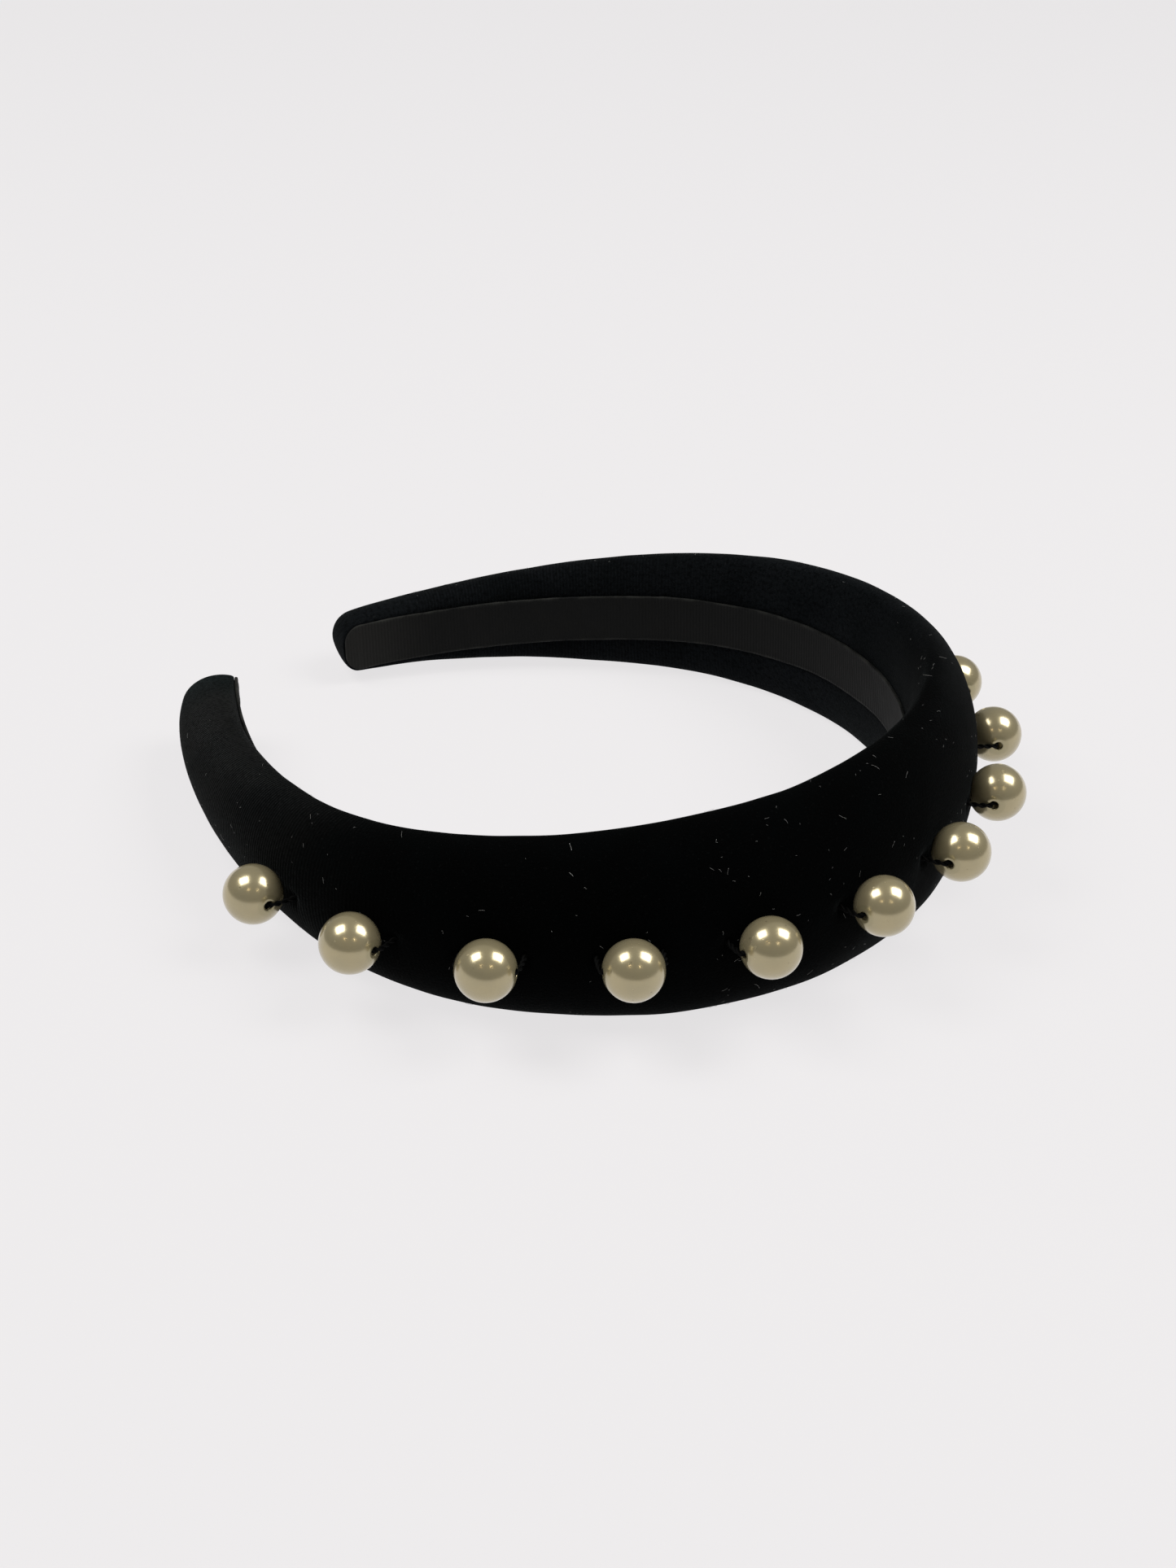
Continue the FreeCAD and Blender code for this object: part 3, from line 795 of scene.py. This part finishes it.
for span in SPANS:
    ribbon_reach = strip_reach(RIBBON_HALF, RIBBON_CORNER, HALF_LENGTH - RIBBON_TIP_GAP)
    ribbon = strip_piece("grosgrain_" + span,
                         end_places(span, RIBBON_PITCH, RIBBON_TIP_GAP, RIBBON_CORNER),
                         ribbon_reach, 0.0, RIBBON_THICK, RIBBON_COLUMNS, RIBBON_EDGE_ROUND,
                         RIBBON, ribbon_relief)
    bend_with(ribbon, span, "ribbon")

# -------------------------------------------------------------- pearl beads
# Thirteen moulded beads with a champagne pearl coating, each drilled through,
# with a small flat and a worn ring round each mouth of its hole.

HOLE_RADIUS = 0.00075
FLAT_OUT = 0.00485
BEAD_TURNS = 96
DOME_STEPS = 64
# the worn mouth of a hole: how deep and how wide its steps are
MOUTH_DEPTH = 0.0005
MOUTH_BEVEL = 0.00012
MOUTH_LIP = 0.00003
LIP_WIDE = 0.00004
MOUTH_WIDE = 0.00011
# a moulded bead's unevenness
SWELL_LENGTH = 0.0035
SWELL = 0.00002
PEARL_CREAM = (0.44, 0.375, 0.220, 1)
PEARL_SAND = (0.41, 0.355, 0.215, 1)
PEARL_WORN = (0.34, 0.30, 0.17, 1)
PEARL_PIT_SHADE = (0.12, 0.10, 0.06, 1)

pearl = Finish("pearl_finish")
pearl_place = pearl.node("TexCoord", {}, {}, 3)
number = pearl.node("Attribute", {"attribute_name": "bead"}, {}, 2)
spread = pearl.node("CombineXYZ", {}, {0: number * 0.37, 1: number * 0.11, 2: number * 0.23})
own_place = pearl_place + spread
lustre = pearl.node("TexNoise", {}, {"Vector": own_place, "Scale": 260.0, "Detail": 3.0})
scuffs = pearl.node("TexNoise", {}, {"Vector": own_place, "Scale": 900.0, "Detail": 2.0})
scuffs = scuffs.over(0.70, 0.78)
pits = 1 - pearl.node("TexVoronoi", {}, {"Vector": own_place, "Scale": 420.0}).over(0.03, 0.10)
along_hole = pearl.node("SeparateXYZ", {}, {0: pearl_place})
mouth = pearl.node("Math", {"operation": "ABSOLUTE"}, {0: along_hole}).over(0.00455, 0.0047)
pearl_tone = pearl.mix(lustre.over(0.3, 0.7), PEARL_CREAM, PEARL_SAND)
pearl_tone = pearl.mix(mouth * 0.5, pearl_tone, PEARL_WORN)
# painted shade darkens the small pits
pearl_tone = pearl.mix(pits * 0.5, pearl_tone, PEARL_PIT_SHADE)
PEARL = pearl.surface(pearl.node("BsdfPrincipled", {}, {
    "Base Color": pearl_tone,
    "Metallic": 0.62,
    "Roughness": lustre * 0.06 + scuffs * 0.15 + 0.20,
    "Coat Weight": 0.6,
    "Coat Roughness": 0.12,
    "Normal": pearl.node("Bump", {}, {"Strength": 0.25, "Distance": 0.00008,
                                      "Height": lustre * 0.25 + scuffs * 0.3 - pits * 0.5})}))


def bead_profile():
    """The half section of a bead, from one mouth over the dome to the other
    mouth: distances along the hole and out from its axis."""
    rim = math.sqrt(BEAD_RADIUS ** 2 - FLAT_OUT ** 2)
    start = math.atan2(rim, -FLAT_OUT)
    angles = np.linspace(start, math.pi - start, DOME_STEPS)
    dome = [(BEAD_RADIUS * math.cos(a), BEAD_RADIUS * math.sin(a)) for a in angles]
    mouth_in = [(MOUTH_DEPTH - FLAT_OUT, HOLE_RADIUS), (MOUTH_BEVEL - FLAT_OUT, HOLE_RADIUS),
                (MOUTH_LIP - FLAT_OUT, HOLE_RADIUS + LIP_WIDE),
                (-FLAT_OUT, HOLE_RADIUS + MOUTH_WIDE)]
    mouth_out = [(-x, r) for x, r in reversed(mouth_in)]
    return mouth_in + dome + mouth_out


profile = bead_profile()
for index in range(-6, 7):
    centre = bead_centre(index)
    place = index * BEAD_PITCH
    ahead = spots(place + SMALL_STEP, 0, 0) - spots(place - SMALL_STEP, 0, 0)
    ahead = Vector(ahead).normalized()
    shape = random.Random(100 + index)
    wobble = Vector((shape.uniform(-5, 5), shape.uniform(-5, 5), shape.uniform(-5, 5)))
    points = []
    for x, radius in profile:
        for j in range(BEAD_TURNS):
            angle = 2 * math.pi * j / BEAD_TURNS
            point = Vector((x, radius * math.cos(angle), radius * math.sin(angle)))
            swell = noise.noise(point / SWELL_LENGTH + wobble) * SWELL
            points.append(point * (1 + swell / BEAD_RADIUS))
    rows = len(profile)
    faces = sheets(rows, BEAD_TURNS, 0, True)
    for j in range(BEAD_TURNS):
        k = (j + 1) % BEAD_TURNS
        last = (rows - 1) * BEAD_TURNS
        faces.append((j, k, last + k, last + j)[::-1])
    name = "pearl_%d" % (index + 7)
    bead = add_piece(name, points, faces, PEARL)
    tag = bead.data.attributes.new("bead", "FLOAT", "POINT")
    tag.data.foreach_set("value", [float(index + 7)] * len(bead.data.vertices))
    bead.location = Vector(centre)
    bead.rotation_mode = "QUATERNION"
    bead.rotation_quaternion = Vector((1, 0, 0)).rotation_difference(ahead)
    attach(bead, "bead_%d" % (index + 7))
    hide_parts("bead_%d" % (index + 7))

# ------------------------------------------------------------ sewing thread
# Doubled black polyester thread, two plies to a strand. It comes out of the
# velvet beside a bead, goes through the hole, and back in on the other side.

THREAD_RADIUS = 0.00024
THREAD_PLIES = 2
PLY_OFFSET = THREAD_RADIUS * 0.95
THREAD_DROP = 0.0066
THREAD_LEAN = 0.00022
THREAD_TWIST = 0.0028
THREAD_SIDES = 8
THREAD_SWAY = 0.0003
ROUTE_STEPS = 10

sewing = Finish("black_thread")
thread_place = sewing.node("TexCoord", {}, {}, 3)
fibres = sewing.node("TexNoise", {}, {"Vector": thread_place, "Scale": 4000.0, "Detail": 2.0})
THREAD = sewing.surface(sewing.node("BsdfPrincipled", {}, {
    "Base Color": sewing.mix(fibres, (0.0004, 0.0005, 0.0005, 1), (0.0022, 0.0022, 0.0022, 1)),
    "Roughness": fibres * 0.2 + 0.6,
    "Specular IOR Level": 0.06,
    "Normal": sewing.node("Bump", {}, {"Strength": 0.5, "Distance": 0.00005,
                                       "Height": fibres})}))

THREAD_BODIES = {1: "left_arm", 2: "left_arm", 3: "left_arm", 4: "left_shoulder",
                 5: "left_shoulder", 6: "crown", 7: "crown", 8: "crown", 9: "right_shoulder",
                 10: "right_shoulder", 11: "right_arm", 12: "right_arm", 13: "right_arm"}


def smooth_route(corners, count):
    """A smooth curve that starts and ends at the end corners."""
    curve = bpy.data.curves.new("route", "CURVE")
    curve.dimensions = "3D"
    curve.resolution_u = count
    spline = curve.splines.new("NURBS")
    spline.points.add(len(corners) - 1)
    for point, corner in zip(spline.points, corners):
        point.co = (*corner, 1)
    spline.order_u = 3
    spline.use_endpoint_u = True
    holder = bpy.data.objects.new("route", curve)
    line = bpy.data.meshes.new_from_object(holder)
    points = np.array([v.co for v in line.vertices])
    bpy.data.objects.remove(holder)
    bpy.data.curves.remove(curve)
    bpy.data.meshes.remove(line)
    return points


def twisted(path, plies, offset, twist, radius, sides):
    """Tubes wound round a path. Returns points and faces, closed at the ends."""
    run = np.concatenate([[0], np.cumsum(np.linalg.norm(np.diff(path, axis=0), axis=1))])
    tangent = np.gradient(path, axis=0)
    tangent /= np.linalg.norm(tangent, axis=1, keepdims=True)
    side = np.cross(tangent, (0.0, 0.0, 1.0))
    side /= np.linalg.norm(side, axis=1, keepdims=True)
    other = np.cross(tangent, side)
    points, faces = [], []
    for ply in range(plies):
        phase = 2 * math.pi * (run / twist + ply / plies)
        axis = path + offset * (side * np.cos(phase)[:, None] + other * np.sin(phase)[:, None])
        first = sum(len(ply_points) for ply_points in points)
        angle = 2 * math.pi * np.arange(sides) / sides
        ring = (axis[:, None] + radius * (side[:, None] * np.cos(angle)[None, :, None]
                                          + other[:, None] * np.sin(angle)[None, :, None]))
        points.append(ring.reshape(-1, 3))
        faces += sheets(len(axis), sides, first)
        faces.append([first + j for j in range(sides)][::-1])
        faces.append([first + (len(axis) - 1) * sides + j for j in range(sides)])
    return np.concatenate(points), faces


for count in range(1, 14):
    index = count - 7
    loose = random.Random(300 + index)
    corners = []
    for side in (-1, 1):
        sway = loose.uniform(-THREAD_SWAY, THREAD_SWAY)
        leg = [(side * STITCH_REACH, THREAD_DROP, sway),
               (side * (STITCH_REACH + 0.0001), 0.0030, sway),
               (side * (STITCH_REACH - 0.0001), THREAD_LEAN + 0.0006, sway * 0.5),
               (side * 0.0048, THREAD_LEAN, 0.0),
               (side * 0.0030, THREAD_LEAN, 0.0)]
        corners += leg if side < 0 else leg[::-1]
    path = smooth_route(corners, ROUTE_STEPS)
    points, faces = twisted(path, THREAD_PLIES, PLY_OFFSET, THREAD_TWIST, THREAD_RADIUS,
                            THREAD_SIDES)
    centre = bead_centre(index)
    place = index * BEAD_PITCH
    ahead = spots(place + SMALL_STEP, 0, 0) - spots(place - SMALL_STEP, 0, 0)
    ahead = ahead / np.linalg.norm(ahead)
    inward = spots(place, 0, 0) - spots(place, SMALL_STEP, 0)
    inward = inward / np.linalg.norm(inward)
    placed = (centre + points[:, :1] * ahead + points[:, 1:2] * inward
              + points[:, 2:] * np.array(UP))
    thread = add_piece("stitch_%d" % count, placed, faces, THREAD)
    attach(thread, THREAD_BODIES[count])
    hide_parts("thread_%d" % count)

# ----------------------------------------------------------- lint and fibres
# Short pale fibres and specks of dust that cling to the pile, and one longer
# curled fibre near the upper rim.

LINT_EACH = 90
LINT_RADIUS = 0.000018
LINT_SIDES = 4
LINT_STEPS = 6
CURL_PLACE = -0.0600
CURL_LENGTH = 0.0052
CURL_RADIUS = 0.000035
CURL_STEPS = 28
CURL_WAVES = 7.0
CURL_SWING = 0.00055
CURL_LIFT = 0.0003
CURL_FALL = 0.00045
# where the curled fibre starts and which way it runs, in columns past the edge
CURL_COLUMN = 4
CURL_AHEAD = 12
# lint keeps off the span's ends and off the head side
END_ROWS = 4
TIP_ROWS = 20
LINT_SHORTEST = 0.00025
LINT_LONGER = 0.0013
LINT_LIFT = 0.00005
LINT_ARCH = 0.00006
LINT_DARK = (0.10, 0.10, 0.10, 1)
LINT_PALE = (0.34, 0.34, 0.33, 1)

fluff = Finish("lint")
fluff_place = fluff.node("TexCoord", {}, {}, 3)
fluff_shade = fluff.node("TexNoise", {}, {"Vector": fluff_place, "Scale": 2500.0, "Detail": 2.0})
LINT = fluff.surface(fluff.node("BsdfPrincipled", {}, {
    "Base Color": fluff.mix(fluff_shade, LINT_DARK, LINT_PALE),
    "Roughness": fluff_shade * 0.2 + 0.6,
    "Normal": fluff.node("Bump", {}, {"Strength": 0.3, "Distance": 0.00002,
                                      "Height": fluff_shade})}))


def fibre(path, radius, sides):
    """A thin tube along a path: points and faces, closed at the ends."""
    tangent = np.gradient(path, axis=0)
    tangent /= np.linalg.norm(tangent, axis=1, keepdims=True)
    side = np.cross(tangent, (0.31, 0.17, 0.93))
    side /= np.linalg.norm(side, axis=1, keepdims=True)
    other = np.cross(tangent, side)
    angle = 2 * math.pi * np.arange(sides) / sides
    ring = path[:, None] + radius * (side[:, None] * np.cos(angle)[None, :, None]
                                     + other[:, None] * np.sin(angle)[None, :, None])
    count = len(path)
    faces = sheets(count, sides)
    faces.append(list(range(sides))[::-1])
    faces.append([(count - 1) * sides + j for j in range(sides)])
    return ring.reshape(-1, 3), faces


for order, (span, (places, grid, normals)) in enumerate(skins.items()):
    loose = random.Random(500 + order)
    rows, columns = grid.shape[:2]
    points, faces, first = [], [], 0
    paths = []
    for _ in range(LINT_EACH):
        row = loose.randrange(END_ROWS, rows - (TIP_ROWS if span == "right_arm" else END_ROWS))
        column = loose.randrange(int(columns * 0.2), int(columns * 0.8))
        start, normal = grid[row, column], normals[row, column]
        heading = Vector((loose.gauss(0, 1), loose.gauss(0, 1), loose.gauss(0, 1)))
        length = LINT_SHORTEST + LINT_LONGER * loose.random() ** 3
        curl = loose.uniform(-1.6, 1.6)
        ahead = np.cross(normal, np.array(heading.normalized()))
        ahead /= np.linalg.norm(ahead)
        across = np.cross(normal, ahead)
        run = np.linspace(0, 1, LINT_STEPS)
        paths.append((start + normal * LINT_LIFT
                      + ahead * (length * run)[:, None]
                      + across * (length * curl * 0.5 * run ** 2)[:, None]
                      + normal * (LINT_ARCH * np.sin(run * np.pi))[:, None], LINT_RADIUS))
    if span == "left_arm":
        row = int(np.abs(places - CURL_PLACE).argmin())
        column = int(np.argmax((grid[row] @ np.array(UP))))
        start, normal = grid[row, column + CURL_COLUMN], normals[row, column + CURL_COLUMN]
        ahead = grid[row, column + CURL_AHEAD] - start
        ahead = ahead / np.linalg.norm(ahead)
        across = np.cross(normal, ahead)
        run = np.linspace(0, 1, CURL_STEPS)
        wave = np.sin(run * CURL_WAVES) * CURL_SWING * (0.4 + run)
        paths.append((start + normal * CURL_LIFT + ahead * (CURL_LENGTH * run)[:, None]
                      + across * wave[:, None]
                      - normal * (CURL_FALL * run)[:, None], CURL_RADIUS))
    for path, radius in paths:
        tube, quads = fibre(path, radius, LINT_SIDES)
        points.append(tube)
        faces += [tuple(first + corner for corner in quad) for quad in quads]
        first += len(tube)
    fuzz = add_piece("lint_" + span, np.concatenate(points), faces, LINT)
    bend_with(fuzz, span, None)
